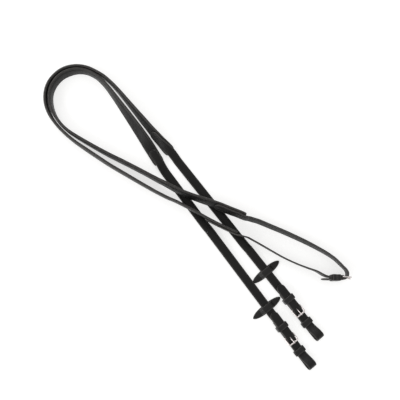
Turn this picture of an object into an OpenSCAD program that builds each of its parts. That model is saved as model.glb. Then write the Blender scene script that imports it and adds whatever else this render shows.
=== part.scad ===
// Leather reins laid out on a table: two reins joined by a centre buckle.
// Millimetres, +Z up, origin on the floor under the middle of the lay.
// Rein "a" is the near rein (inner one round the fold), rein "b" the far one.

/* [Straps] */
// Width of every plain strap
strap_w = 16; // [12:0.5:20]
// Thickness of every plain strap
strap_t = 2.8; // [2:0.1:3.4]
// Thickness of the billets
billet_t = 2.2; // [1.6:0.1:2.8]
// Thickness of the chapes and keepers
thin_t = 1.2; // [0.9:0.1:1.5]

/* [Grips] */
// Width of the padded hand grips
grip_w = 20; // [17:0.5:24]
// Thickness of the padded hand grips
grip_t = 4.2; // [3.6:0.1:5.5]
// Wall of the grip sleeve
sleeve_wall = 1.0; // [0.8:0.1:1.3]

/* [Buckles] */
// Diameter of the heel bar and the front bar
bar_d = 2.9; // [2.2:0.1:3.4]
// Heel bar axis to front bar axis
frame_len = 15; // [13:0.5:18]
// Diameter of the side bars
side_d = 2.3; // [1.8:0.1:2.8]
// Diameter of the tongue
tongue_d = 1.8; // [1.4:0.1:2.2]
// Angle the front bar is held up by the billet
frame_tilt = 5; // [4:0.5:7]

/* [Bit ends] */
// Inner radius of the loop that holds the bit ring
loop_r = 5.5; // [4:0.5:6.5]
// Heel bar axis to the outer end of the bit loop
loop_end = 69.5; // [64:0.5:80]
// Length of the chape legs at the bit ends
chape_len = 34; // [28:1:38]
// Heel bar axis to the billet tip
billet_tip = 50; // [44:1:52]
// Length of a fixed keeper along the strap
keeper_len = 9.5; // [8:0.5:11]
// Length of a runner keeper along the strap
runner_len = 10; // [8:0.5:12]

/* [Rein stops] */
// Size of a rein stop across the strap
stop_w = 62.5; // [50:0.5:75]
// Size of a rein stop along the strap
stop_len = 15; // [12:0.5:18]
// Thickness of a rein stop
stop_t = 2.2; // [1.6:0.1:2.6]

/* [Fits] */
// Gap between layers of one stack
lay_gap = 0.1; // [0.05:0.05:0.2]
// Gap round anything that slides
slide_gap = 0.3; // [0.3:0.05:0.5]
// Running fit of bars in their bores
bar_fit = 0.05; // [0.02:0.01:0.1]

/* [Display] */
// Part to show: all, or one node name

/* [Hidden] */
$fn = 48;

// middle of the lay, taken off every place below
lay_mid = [10, 4, 0];

// heel bars of the two bit ends and of the centre buckle, and their headings
head_a = [282, -26.5];
turn_a = -1.2;
head_b = [252.5, 14.6];
turn_b = 0.6;
head_c = [263.3, 115.9];
turn_c = 52;

// buckle stack, counted up from the floor
keep_t = thin_t;
z_lower = keep_t + slide_gap;
z_chape = z_lower + billet_t + lay_gap;
z_strap = z_chape + thin_t + lay_gap;
bore_r = bar_d / 2 + bar_fit;
z_heel = z_strap + strap_t / 2;
z_leg2 = z_heel + leg_in();
z_upper = z_leg2 + thin_t + lay_gap;
z_run = z_lower + billet_t + 0.2;
z_stop_strap = stop_t + slide_gap;
frame_y = strap_w / 2 + 0.3 + side_d / 2;
frame_w = strap_w + 0.6 + 2 * side_d;
keeper_w = strap_w + 2.5 + 2 * 1.5;
stop_a = -61;
stop_b = -81;
keeper_x = -19.5;
runner_x = 33;
tongue_rise = asin((bar_d / 2 + tongue_d / 2 + 0.05) / frame_len) + frame_tilt;

function leg_in() = max(bore_r, strap_t / 2 + lay_gap);
function line_a(x) = head_a[1] + (x - head_a[0]) * tan(turn_a);
function line_b(x) = head_b[1] + (x - head_b[0]) * tan(turn_b);
function at_c(u, n) = [head_c[0] + u * cos(turn_c) + n * sin(turn_c),
                       head_c[1] + u * sin(turn_c) - n * cos(turn_c)];
function pt(p, roll, over, lift) = [p[0], p[1], roll, over, lift];

// routes: x, y, roll about the run, height of the lowest edge, tab side (-1 to 1)
route_grip_a = [
    [-94, -17.5, 0, 0, 0], [-106, -16.3, -4, 0, 0], [-121, -15, -12, 0, 0],
    [-140, -13.8, -30, 0, 0], [-157, -12.8, -44, 0, 0], [-175, -12, -56, 0, 0],
    [-196, -11, -66, 0, 0], [-216, -10.2, -75, 0, 0], [-236, -9.4, -82, 0, 0],
    [-256, -9.2, -87, 0, 0], [-274, -11, -89, 0, 0], [-288, -15.8, -88, 0, 0],
    [-299, -22.8, -84, 0, 0], [-307.6, -32.2, -76, 0, 0], [-313.6, -44.5, -69, 0, 0],
    [-316.4, -58, -65, 0, 0], [-315.4, -71.3, -63, 0, 0], [-311, -84, -63, 0, 0],
    [-304, -94.5, -65, 0, 0], [-294.6, -102.6, -67, 0, 0], [-282, -109.4, -70, 0, 0],
    [-266, -113.6, -74, 0, 0], [-248, -114.2, -79, 0, 0], [-232, -111.4, -83, 0, 0],
    [-218, -106.7, -85, 0, 0], [-202, -100.4, -87, 0, 0], [-186, -93.7, -88, 0, 0],
    [-170, -86.7, -90, 0, 0], [-156, -80.3, -91, 0, 0], [-141, -72.8, -92, 0, 0],
    [-125, -65, -92, 0, 0], [-108, -56.8, -92, 0, 0], [-91, -48.9, -92, 0, 0],
    [-74, -41.2, -94, 0, 0], [-58, -34.2, -97, 3.2, 0], [-32, -22, -102, 3.2, 0],
    [-6, -6, -107, 3.2, 0], [14, 7.8, -111, 3.2, 0], [30, 18.4, -114, 3.2, 0],
    [44, 26.6, -114, 3.2, 0], [57, 35, -112, 3.2, 0], [71, 44, -110, 0.6, 0]];
route_grip_b = [
    [-98, 10.6, -10, 0, 0], [-110, 8.8, -28, 0, 0], [-124, 7.2, -46, 0, 0],
    [-140, 6.2, -59, 0, 0], [-157, 5.4, -68, 0, 0], [-175, 4.8, -75, 0, 0],
    [-195, 4.2, -82, 0, 0], [-216, 3.6, -88, 0, 0], [-237, 2.8, -92, 0, 0],
    [-257, 0.9, -95, 0, 0], [-275, -3, -95, 0, 0], [-290.2, -9.8, -92, 0, 0],
    [-302.4, -17.6, -87, 0, 0], [-312.8, -29, -80, 0, 0], [-319.6, -42.4, -73, 0, 0],
    [-322.8, -57, -68, 0, 0], [-321.8, -72.2, -66, 0, 0], [-317.4, -86.6, -65, 0, 0],
    [-309.6, -98.8, -67, 0, 0], [-299, -108.6, -69, 0, 0], [-285.6, -116, -71, 0, 0],
    [-269, -120.2, -74, 0, 0], [-250, -120.8, -78, 0, 0], [-230, -118.4, -81, 0, 0],
    [-210, -113.8, -83, 0, 0], [-194, -108.7, -85, 0, 0], [-177, -103, -86, 0, 0],
    [-160, -97.2, -86, 0, 0], [-144, -91.6, -86, 0, 0], [-128, -85.2, -86, 0, 0],
    [-112, -78.6, -86, 0, 0], [-94, -71.3, -85, 0, 0], [-76, -63.8, -85, 0, 0],
    [-58, -56, -84, 0, 0], [-40, -47.4, -84, 0, 0], [-20, -37.2, -83, 3.2, 0],
    [6, -25, -82, 3.2, 0], [24, -17, -81, 3.2, 0], [42, -8.6, -80, 3.2, 0],
    [60, 0.2, -80, 3.2, 0], [84, 12.8, -80, 3.2, 0]];
route_front_a = [
    [-121, -15, 12, 0, 1], [-106, -16.3, 4, 0, 1], [-94, -17.5, 0, 0, 1],
    [-84, -18.5, 0, 0, 0.4], [-74, line_a(-74), 0, 0, 0],
    [-60, line_a(-60), 0, 0, 0], [0, line_a(0), 0, 0, 0],
    [38, line_a(38), 0, 0, 0], [52, line_a(52), 0, z_stop_strap, 0],
    [64, line_a(64), 0, z_stop_strap, 0], [180, line_a(180), 0, z_stop_strap, 0],
    [228, line_a(228), 0, z_stop_strap, 0], [246, line_a(246), 0, z_strap, 0],
    [258, line_a(258), 0, z_strap, 0],
    [head_a[0] - 3.4, line_a(head_a[0] - 3.4), 0, z_strap, 0]];
route_front_b = [
    [-146, 5.9, 63, 0, 1], [-135, 6.5, 55, 0, 1], [-124, 7.2, 46, 0, 1],
    [-110, 8.8, 28, 0, 1], [-98, 10.6, 10, 0, 1], [-87, 11.2, 0, 0, 0.4],
    [-76, line_b(-76), 0, 0, 0],
    [-60, line_b(-60), 0, 0, 0], [0, line_b(0), 0, 0, 0],
    [60, line_b(60), 0, 0, 0], [108, line_b(108), 0, 0, 0],
    [122, line_b(122), 0, z_stop_strap, 0], [134, line_b(134), 0, z_stop_strap, 0],
    [198, line_b(198), 0, z_stop_strap, 0], [216, line_b(216), 0, z_strap, 0],
    [228, line_b(228), 0, z_strap, 0],
    [head_b[0] - 3.4, line_b(head_b[0] - 3.4), 0, z_strap, 0]];
route_hand_a = [
    [22, 13.2, -113, 3.2, -1], [30, 18.4, -114, 3.2, -1], [44, 26.6, -114, 3.2, -1],
    [57, 35, -112, 3.2, -1], [71, 44, -110, 0.6, -1], [82, 50.9, -109, 0, -0.4],
    [95, 58.8, -107, 0, 0], [115, 70.4, -105.5, 0, 0], [136, 82.6, -104.5, 0, 0],
    [157, 94.1, -103, 0, 0], [176, 104, -101, 0, 0], [195, 113, -98, 0, 0],
    [214, 121.2, -95, 0, 0], [232, 126.8, -91, 0.8, 0],
    pt(at_c(1.6, -18.8), -88, 2.75, 0), pt(at_c(7, -13.6), -88, 2.75, 0),
    pt(at_c(10, -8.6), -89, 2.75, 0), pt(at_c(10.4, -4.6), -90, 2.75, 0),
    pt(at_c(9.4, -1.2), -90, 2.75, 0), pt(at_c(7, 1.8), -90, 2.75, 0),
    pt(at_c(3.4, 3.8), -90, 2.75, 0), pt(at_c(-1.5, 4.4), -90, 2.75, 0),
    pt(at_c(-10, 4.5), -90, 2.75, 0), pt(at_c(-20, 4.5), -90, 2.75, 0),
    pt(at_c(-30, 4.4), -90, 2.75, 0), pt(at_c(-39, 3.8), -90, 2.75, 0)];
route_hand_b = [
    [30, -14.2, -81, 3.2, -1], [42, -8.6, -80, 3.2, -1], [60, 0.2, -80, 3.2, -1],
    [84, 12.8, -80, 3.2, -1], [94, 18.6, -80, 3.2, -0.5], [104, 24.2, -80, 1.6, 0],
    [115, 29.4, -80, 0, 0], [126, 34.2, -80, 0, 0], [149, 43.8, -79, 0, 0],
    [172, 53.8, -79, 0, 0], [194, 65.4, -80, 0, 0], [211, 75.6, -82, 0.6, 0],
    [226, 85, -85, 2, 0],
    pt(at_c(-38, -5), -88, 2.75, 0), pt(at_c(-32, -2), -89, 2.75, 0),
    pt(at_c(-26.5, -0.3), -90, 2.75, 0), pt(at_c(-22, 0), -90, 2.75, 0),
    pt(at_c(-12, 0), -90, 2.75, 0),
    pt(at_c(-3.4, 0), -90, 2.75, 0)];

// ---------------------------------------------------------------- helpers
function ease(t) = t * t * (3 - 2 * t);
function cr(a, b, c, d, t) = 0.5 * (2 * b + (c - a) * t
    + (2 * a - 5 * b + 4 * c - d) * t * t + (3 * b - a - 3 * c + d) * t * t * t);
function knot(r, i) = r[max(0, min(len(r) - 1, i))];
function half_h(roll, w, t) = abs(cos(roll)) * t / 2 + abs(sin(roll)) * w / 2;
function plan(r, i, t) = [for (k = [0, 1, 2])
    cr(knot(r, i - 1)[k], knot(r, i)[k], knot(r, i + 1)[k], knot(r, i + 2)[k], t)];
function level(r, i, t, k) = knot(r, i)[k] * (1 - ease(t)) + knot(r, i + 1)[k] * ease(t);
function slope(r, i, t) = plan(r, i, min(1, t + 0.02)) - plan(r, i, max(0, t - 0.02));

// one station: centre, width axis, thickness axis
function station(r, i, t, w, th) =
    let (p = plan(r, i, t), d = slope(r, i, t), h = atan2(d[1], d[0]),
         roll = p[2], over = level(r, i, t, 3), lift = level(r, i, t, 4),
         k = min(1, abs(lift)),
         z = over + (1 - k) * half_h(roll, w, th) + k * half_h(roll, grip_w, grip_t),
         side = [-sin(h), cos(h), 0],
         wide = cos(roll) * side + sin(roll) * [0, 0, 1],
         thick = -sin(roll) * side + cos(roll) * [0, 0, 1],
         off = lift * (grip_t / 2 + strap_t / 2 + slide_gap))
    [[p[0], p[1], z] + off * thick, wide, thick];

function stations(r, n, w, th, first, last) = [
    for (i = [0:len(r) - 2])
        let (steps = i == 0 ? first : i == len(r) - 2 ? last
             : [for (k = [0:n - 1]) k / n])
            for (t = steps) station(r, i, t, w, th)];

function outline(w, t) = let (c = min(0.28 * t, 0.9)) [
    [-w / 2 + c, -t / 2], [w / 2 - c, -t / 2], [w / 2, -t / 2 + c], [w / 2, t / 2 - c],
    [w / 2 - c, t / 2], [-w / 2 + c, t / 2], [-w / 2, t / 2 - c], [-w / 2, -t / 2 + c]];
function ring(s, w, t) = [for (q = outline(w, t)) s[0] + q[0] * s[1] + q[1] * s[2]];

// distance run from the first station, for rounding a free end
function run_to(s, j) = j == 0 ? 0 : norm(s[j][0] - s[j - 1][0]) + run_to(s, j - 1);
function tip_w(w, d, r) = d >= r ? w : max(0.25 * w, w * sqrt(1 - pow(1 - d / r, 2)));

// the two triangles of one panel, split so that a twisted panel folds inward
function folds_in(p, q, r, s) = cross(q - p, s - p) * (r - p) > 0;
function panel(g, h, k, a, b, c, d, flip) =
    let (n = len(g), k2 = (k + 1) % n, inward = folds_in(g[k], h[k], h[k2], g[k2]))
        !flip ? (inward ? [[a, b, c], [a, c, d]] : [[a, b, d], [d, b, c]])
        : (inward ? [[a, c, b], [a, d, c]] : [[a, d, b], [d, c, b]]);

module skin(rings) {
    n = len(rings[0]);
    m = len(rings);
    polyhedron(
        points = [for (g = rings) for (p = g) p],
        faces = concat(
            [[for (k = [0:n - 1]) k]],
            [[for (k = [0:n - 1]) (m - 1) * n + n - 1 - k]],
            [for (j = [0:m - 2]) for (k = [0:n - 1])
                each panel(rings[j], rings[j + 1], k, j * n + k, (j + 1) * n + k,
                    (j + 1) * n + (k + 1) % n, j * n + (k + 1) % n, false)]),
        convexity = 8);
}

module tube(outer, inner) {
    n = len(outer[0]);
    m = len(outer);
    q = m * n;
    polyhedron(
        points = concat([for (g = outer) for (p = g) p], [for (g = inner) for (p = g) p]),
        faces = concat(
            [for (j = [0:m - 2]) for (k = [0:n - 1])
                each panel(outer[j], outer[j + 1], k, j * n + k, (j + 1) * n + k,
                    (j + 1) * n + (k + 1) % n, j * n + (k + 1) % n, false)],
            [for (j = [0:m - 2]) for (k = [0:n - 1])
                each panel(outer[j], outer[j + 1], k, q + j * n + k, q + (j + 1) * n + k,
                    q + (j + 1) * n + (k + 1) % n, q + j * n + (k + 1) % n, true)],
            [for (k = [0:n - 1]) [k, k == n - 1 ? 0 : k + 1, q + (k == n - 1 ? 0 : k + 1)]],
            [for (k = [0:n - 1]) [k, q + (k == n - 1 ? 0 : k + 1), q + k]],
            [for (k = [0:n - 1]) [(m - 1) * n + (k + 1) % n, (m - 1) * n + k,
                q + (m - 1) * n + k]],
            [for (k = [0:n - 1]) [(m - 1) * n + (k + 1) % n, q + (m - 1) * n + k,
                q + (m - 1) * n + (k + 1) % n]]),
        convexity = 8);
}

module strap(r, n, tip, last_tip) {
    near = [0, 0.05, 0.15, 0.3, 0.5, 0.75];
    plain = [for (k = [0:n - 1]) k / n];
    s = stations(r, n, strap_w, strap_t, tip > 0 ? near : plain,
        last_tip > 0 ? [0, 0.2, 0.4, 0.6, 0.8, 0.92, 0.98, 1] : concat(plain, [1]));
    total = run_to(s, len(s) - 1);
    skin([for (j = [0:len(s) - 1])
        let (d = run_to(s, j),
             w1 = tip > 0 ? tip_w(strap_w, d, tip) : strap_w,
             w2 = last_tip > 0 ? tip_w(strap_w, total - d, last_tip) : strap_w)
            ring(s[j], min(w1, w2), strap_t)]);
}

function plain_steps(n) = [for (k = [0:n - 1]) k / n];
function grip_stations(r, n) = stations(r, n, grip_w, grip_t,
    plain_steps(n), concat(plain_steps(n), [1]));

module grip_sleeve(r) {
    s = grip_stations(r, 2);
    tube([for (g = s) ring(g, grip_w, grip_t)],
         [for (g = s) ring(g, grip_w - 2 * sleeve_wall, grip_t - 2 * sleeve_wall)]);
}

module grip_core(r) {
    s = grip_stations(r, 2);
    m = len(s);
    skin([for (j = [1:m - 2]) ring(s[j], grip_w - 2 * sleeve_wall - 0.3,
        grip_t - 2 * sleeve_wall - 0.3)]);
}

// slab from a side view polygon, strap wide, in the buckle's own frame
module slab(w) {
    rotate([90, 0, 0]) linear_extrude(w, center = true) children();
}

module at_a() { translate([head_a[0], head_a[1], 0]) rotate(turn_a) children(); }
module at_b() { translate([head_b[0], head_b[1], 0]) rotate(turn_b) children(); }
module at_centre() {
    translate([head_c[0], head_c[1], 2.75 + strap_w / 2]) rotate([90, 0, turn_c])
        children();
}
module lay() { translate(-lay_mid) children(); }

// ---------------------------------------------------------------- buckle parts
// own frame: x to the front bar, y across, z up, heel bar axis at height h
module frame_part(h) {
    translate([0, 0, h]) rotate([0, -frame_tilt, 0]) {
        for (x = [0, frame_len])
            translate([x, 0, 0]) rotate([90, 0, 0])
                cylinder(d = bar_d, h = frame_w, center = true);
        for (y = [-frame_y, frame_y])
            translate([0, y, 0]) rotate([0, 90, 0]) cylinder(d = side_d, h = frame_len);
    }
}

module tongue_part(h) {
    translate([0, 0, h]) difference() {
        union() {
            rotate([90, 0, 0]) cylinder(r = bore_r + 0.9, h = 3.2, center = true);
            rotate([0, 90 - tongue_rise, 0]) translate([0, 0, bore_r + 0.3]) {
                cylinder(d = tongue_d, h = frame_len + 1.4 - bore_r);
                translate([0, 0, frame_len + 1.4 - bore_r]) sphere(d = tongue_d);
            }
        }
        rotate([90, 0, 0]) cylinder(r = bore_r, h = 4, center = true);
    }
}

module chape_part(h, legs) {
    g = leg_in();
    translate([0, 0, h]) difference() {
        union() {
            rotate([90, 0, 0]) cylinder(r = g + thin_t, h = strap_w, center = true);
            translate([-legs, -strap_w / 2, -g - thin_t])
                cube([legs, strap_w, 2 * (g + thin_t)]);
        }
        rotate([90, 0, 0]) cylinder(r = bore_r, h = strap_w + 2, center = true);
        translate([-legs - 1, -strap_w / 2 - 1, -g]) cube([legs + 1, strap_w + 2, 2 * g]);
        translate([-3.2, -2.1, -g - thin_t - 1]) cube([g + thin_t + 4, 4.2,
            2 * (g + thin_t) + 2]);
    }
}

// rectangular leather loop round a stack from z0 to z1 (inside faces)
module keeper_part(x, len, z0, z1) {
    translate([x - len / 2, 0, 0]) rotate([90, 0, 90]) linear_extrude(len)
        difference() {
            translate([-keeper_w / 2, z0 - keep_t])
                square([keeper_w, z1 - z0 + 2 * keep_t]);
            translate([-keeper_w / 2 + 1.5, z0]) square([keeper_w - 3, z1 - z0]);
        }
}

function rise(x0, z0, x1, z1, n) = [for (k = [0:n])
    [x0 + (x1 - x0) * k / n, z0 + (z1 - z0) * ease(k / n)]];
loop_x = loop_end - billet_t - loop_r;
loop_z = z_lower + billet_t + loop_r;
eye_x = 39.5;
upper_path = concat(
    rise(-1, z_upper, frame_len - 1.5, z_run, 12),
    rise(eye_x, z_run, loop_x, loop_z + loop_r, 12));

module billet_part() {
    difference() {
        intersection() {
            union() {
                translate([-chape_len, -strap_w / 2, z_lower])
                    cube([chape_len + loop_x, strap_w, billet_t]);
                translate([-billet_tip, -strap_w / 2, z_upper])
                    cube([billet_tip - 1, strap_w, billet_t]);
                slab(strap_w) polygon(concat(upper_path,
                    [for (k = [len(upper_path) - 1:-1:0]) upper_path[k] + [0, billet_t]]));
                difference() {
                    translate([loop_x, 0, loop_z]) rotate([90, 0, 0])
                        cylinder(r = loop_r + billet_t, h = strap_w, center = true);
                    translate([loop_x - 20, -strap_w, loop_z - 20])
                        cube([20, 2 * strap_w, 40]);
                }
            }
            linear_extrude(60) union() {
                translate([-billet_tip + strap_w / 2, -strap_w / 2])
                    square([billet_tip + loop_end, strap_w]);
                translate([-billet_tip + strap_w / 2, 0]) circle(d = strap_w);
            }
        }
        translate([loop_x, 0, loop_z]) rotate([90, 0, 0])
            cylinder(r = loop_r, h = strap_w + 2, center = true);
        translate([1.6, -1.6, z_lower + billet_t + 0.05]) cube([9, 3.2, 20]);
    }
}

module stop_part(x) {
    half = stop_w / 2;
    b = strap_w / 2 + slide_gap;
    translate([x, 0, 0]) difference() {
        union() {
            linear_extrude(stop_t) polygon(concat(
                [for (k = [-12:12]) let (y = half * k / 12)
                    [stop_len / 2 * pow(max(0, 1 - pow(abs(k / 12), 2.6)), 0.6), y]],
                [for (k = [11:-1:-11]) let (y = half * k / 12)
                    [-stop_len / 2 * pow(max(0, 1 - pow(abs(k / 12), 2.6)), 0.6), y]]));
            rotate([90, 0, 90]) linear_extrude(stop_len - 2.6, center = true)
                polygon([[-b - 5, stop_t - 0.4], [-b - 3.6, stop_t + 0.6],
                    [-b - 1.2, z_stop_strap + strap_t + slide_gap + 0.6],
                    [-b + 0.6, z_stop_strap + strap_t + slide_gap + 1.6],
                    [b - 0.6, z_stop_strap + strap_t + slide_gap + 1.6],
                    [b + 1.2, z_stop_strap + strap_t + slide_gap + 0.6],
                    [b + 3.6, stop_t + 0.6], [b + 5, stop_t - 0.4]]);
        }
        translate([-stop_len, -b, stop_t])
            cube([2 * stop_len, 2 * b, strap_t + 2 * slide_gap]);
    }
}

// ---------------------------------------------------------------- rein a
module front_strap_a() { color("#2a2827") lay() strap(route_front_a, 3, 8, 0); }
module billet_a() { color("#2b2928") lay() at_a() billet_part(); }
module chape_a() { color("#2d2b2a") lay() at_a() chape_part(z_heel, chape_len); }
module buckle_frame_a() { color("#cfc8c4") lay() at_a() frame_part(z_heel); }
module buckle_tongue_a() { color("#d4cdc9") lay() at_a() tongue_part(z_heel); }
module fixed_keeper_a() {
    color("#2c2a29") lay() at_a() keeper_part(keeper_x, keeper_len,
        z_lower - lay_gap, z_upper + billet_t + lay_gap);
}
module runner_keeper_a() {
    color("#2c2a29") lay() at_a() keeper_part(runner_x, runner_len,
        z_lower - slide_gap, z_run + billet_t + slide_gap);
}
module rein_stop_a() { color("#252423") lay() at_a() stop_part(stop_a); }
module grip_core_a() { color("#3a3a38") lay() grip_core(route_grip_a); }
module grip_sleeve_a() { color("#262524") lay() grip_sleeve(route_grip_a); }
module hand_strap_a() {
    color("#2a2827") lay() difference() {
        strap(route_hand_a, 3, 8, 8);
        at_centre() translate([3.2, -1.7, -1.7]) cube([11.4, 3.4, 6.6]);
    }
}

// ---------------------------------------------------------------- rein b
module front_strap_b() { color("#2a2827") lay() strap(route_front_b, 3, 8, 0); }
module billet_b() { color("#2b2928") lay() at_b() billet_part(); }
module chape_b() { color("#2d2b2a") lay() at_b() chape_part(z_heel, chape_len); }
module buckle_frame_b() { color("#cfc8c4") lay() at_b() frame_part(z_heel); }
module buckle_tongue_b() { color("#d4cdc9") lay() at_b() tongue_part(z_heel); }
module fixed_keeper_b() {
    color("#2c2a29") lay() at_b() keeper_part(keeper_x, keeper_len,
        z_lower - lay_gap, z_upper + billet_t + lay_gap);
}
module runner_keeper_b() {
    color("#2c2a29") lay() at_b() keeper_part(runner_x, runner_len,
        z_lower - slide_gap, z_run + billet_t + slide_gap);
}
module rein_stop_b() { color("#252423") lay() at_b() stop_part(stop_b); }
module grip_core_b() { color("#3a3a38") lay() grip_core(route_grip_b); }
module grip_sleeve_b() { color("#262524") lay() grip_sleeve(route_grip_b); }
module hand_strap_b() { color("#2a2827") lay() strap(route_hand_b, 3, 8, 0); }

// ---------------------------------------------------------------- centre buckle
centre_in = leg_in() + thin_t + lay_gap;
tail_out = 4.5 + strap_t / 2;
module centre_frame() { color("#cfc8c4") lay() at_centre() frame_part(0); }
module centre_tongue() { color("#d4cdc9") lay() at_centre() tongue_part(0); }
module centre_chape() { color("#2d2b2a") lay() at_centre() chape_part(0, 22); }
module centre_keeper_1() {
    color("#2c2a29") lay() at_centre() keeper_part(-8.4, 7, -centre_in, tail_out + 0.2);
}
module centre_keeper_2() {
    color("#2c2a29") lay() at_centre() keeper_part(-16.2, 7, -centre_in - 0.3,
        tail_out + 0.2);
}

front_strap_a();
billet_a();
chape_a();
buckle_frame_a();
buckle_tongue_a();
fixed_keeper_a();
runner_keeper_a();
rein_stop_a();
grip_core_a();
grip_sleeve_a();
hand_strap_a();
front_strap_b();
billet_b();
chape_b();
buckle_frame_b();
buckle_tongue_b();
fixed_keeper_b();
runner_keeper_b();
rein_stop_b();
grip_core_b();
grip_sleeve_b();
hand_strap_b();
centre_frame();
centre_tongue();
centre_chape();
centre_keeper_1();
centre_keeper_2();
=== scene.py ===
import math

import bmesh
import bpy
from mathutils import Matrix, Vector, noise


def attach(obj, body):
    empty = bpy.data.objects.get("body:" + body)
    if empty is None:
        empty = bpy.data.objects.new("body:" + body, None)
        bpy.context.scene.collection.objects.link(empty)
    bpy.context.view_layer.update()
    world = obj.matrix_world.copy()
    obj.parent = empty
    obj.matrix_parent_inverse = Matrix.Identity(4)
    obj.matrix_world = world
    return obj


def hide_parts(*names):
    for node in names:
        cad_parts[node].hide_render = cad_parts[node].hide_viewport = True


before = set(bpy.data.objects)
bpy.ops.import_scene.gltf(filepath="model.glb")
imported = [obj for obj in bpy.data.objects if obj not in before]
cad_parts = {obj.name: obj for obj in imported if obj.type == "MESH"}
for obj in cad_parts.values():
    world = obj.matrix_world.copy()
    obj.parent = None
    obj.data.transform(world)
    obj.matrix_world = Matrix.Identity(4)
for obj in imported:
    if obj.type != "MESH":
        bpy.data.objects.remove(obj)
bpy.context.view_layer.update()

# ---------------------------------------------------------------------------
# The table that the reins are laid on, the light over it and the camera.
# A pale smooth top, an even white room, a large soft window at the front and
# a smaller one at the left.
# ---------------------------------------------------------------------------
mm = 0.001
scene = bpy.context.scene

camera = bpy.data.objects.new("camera", bpy.data.cameras.new("camera"))
scene.collection.objects.link(camera)
eye = Vector((-10.0, -431.05, 1593.76)) * mm
across = Vector((0.615661, 0.761160, 0.203952))
upward = Vector((-0.788011, 0.594683, 0.159345))
backward = Vector((0.0, -0.258819, 0.965926))
camera.matrix_world = Matrix((
    (across.x, upward.x, backward.x, eye.x),
    (across.y, upward.y, backward.y, eye.y),
    (across.z, upward.z, backward.z, eye.z),
    (0, 0, 0, 1)))
camera.data.sensor_width = 36.0
camera.data.lens = 84.375
camera.data.clip_start = 0.05
camera.data.clip_end = 50
scene.camera = camera
scene.view_settings.view_transform = "Standard"

room = bpy.data.worlds.new("white_room")
room.use_nodes = True
room_light = room.node_tree.nodes["Background"]
room_light.inputs["Color"].default_value = (1.0, 0.99, 0.985, 1)
room_light.inputs["Strength"].default_value = 0.7
scene.world = room


def window(name, place, towards, width, height, power):
    """One soft rectangular light."""
    lamp = bpy.data.lights.new(name, "AREA")
    lamp.shape = "RECTANGLE"
    lamp.size, lamp.size_y = width, height
    lamp.energy = power
    holder = bpy.data.objects.new(name, lamp)
    holder.location = place
    holder.rotation_mode = "QUATERNION"
    holder.rotation_quaternion = (Vector(towards) - Vector(place)).to_track_quat("-Z", "Y")
    scene.collection.objects.link(holder)


window("front_window", (-0.5, -2.3, 1.1), (0, 0, 0), 2.6, 1.2, 46)
window("left_window", (-2.4, 0.3, 1.0), (0, 0, 0), 1.5, 0.8, 22)

table_r, table_sides, table_z = 6, 64, -0.0002
table_mesh = bpy.data.meshes.new("table_top")
table_mesh.from_pydata(
    [(math.cos(math.tau * k / table_sides) * table_r,
      math.sin(math.tau * k / table_sides) * table_r, table_z)
     for k in range(table_sides)], [], [list(range(table_sides))])
table_top = bpy.data.objects.new("table_top", table_mesh)
scene.collection.objects.link(table_top)
table_paint = bpy.data.materials.new("table_paint")
table_paint.use_nodes = True
paint = table_paint.node_tree.nodes["Principled BSDF"]
paint.inputs["Base Color"].default_value = (0.50, 0.50, 0.498, 1)
paint.inputs["Emission Color"].default_value = (1.0, 1.0, 0.995, 1)
paint.inputs["Emission Strength"].default_value = 0.62
paint.inputs["Roughness"].default_value = 0.9
paint.inputs["Specular IOR Level"].default_value = 0.1
table_mesh.materials.append(table_paint)

# ---------------------------------------------------------------------------
# Hand straps: the plain rear straps from each grip to the centre buckle.
# Black bridle leather 16 mm wide and 2.8 mm thick, cut from one butt, edges
# bevelled, dyed and rubbed round, with a creased line inside both edges.
# ---------------------------------------------------------------------------
strap_w, strap_t = 16.0, 2.8
grip_w, grip_t = 20.0, 4.2
slide_gap = 0.3
lay_mid = Vector((10, 4, 0))
head_c, turn_c = (263.3, 115.9), math.radians(52)
over_c = 2.75
tip_r = 8.0
sharp_edge = math.radians(48)


def at_c(u, n):
    """A place beside the centre buckle: u along its strap, n off to its side."""
    return (head_c[0] + u * math.cos(turn_c) + n * math.sin(turn_c),
            head_c[1] + u * math.sin(turn_c) - n * math.cos(turn_c))


# each place: x, y, lean of the strap, height of its lowest edge, sewn-on side
hand_way_a = [
    (22, 13.2, -113, 3.2, -1), (30, 18.4, -114, 3.2, -1), (44, 26.6, -114, 3.2, -1),
    (57, 35, -112, 3.2, -1), (71, 44, -110, 0.6, -1), (82, 50.9, -109, 0, -0.4),
    (95, 58.8, -107, 0, 0), (115, 70.4, -105.5, 0, 0), (136, 82.6, -104.5, 0, 0),
    (157, 94.1, -103, 0, 0), (176, 104, -101, 0, 0), (195, 113, -98, 0, 0),
    (214, 121.2, -95, 0, 0), (232, 126.8, -91, 0.8, 0)] + [
    (*at_c(u, n), lean, over_c, 0) for u, n, lean in (
        (1.6, -18.8, -88), (7, -13.6, -88), (10, -8.6, -89), (10.4, -4.6, -90),
        (9.4, -1.2, -90), (7, 1.8, -90), (3.4, 3.8, -90), (-1.5, 4.4, -90),
        (-10, 4.5, -90), (-20, 4.5, -90), (-30, 4.4, -90), (-39, 3.8, -90))]
hand_way_b = [
    (30, -14.2, -81, 3.2, -1), (42, -8.6, -80, 3.2, -1), (60, 0.2, -80, 3.2, -1),
    (84, 12.8, -80, 3.2, -1), (94, 18.6, -80, 3.2, -0.5), (104, 24.2, -80, 1.6, 0),
    (115, 29.4, -80, 0, 0), (126, 34.2, -80, 0, 0), (149, 43.8, -79, 0, 0),
    (172, 53.8, -79, 0, 0), (194, 65.4, -80, 0, 0), (211, 75.6, -82, 0.6, 0),
    (226, 85, -85, 2, 0)] + [
    (*at_c(u, n), lean, over_c, 0) for u, n, lean in (
        (-38, -5, -88), (-32, -2, -89), (-26.5, -0.3, -90), (-22, 0, -90),
        (-12, 0, -90), (-3.4, 0, -90))]


def eased(t):
    return t * t * (3 - 2 * t)


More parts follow.
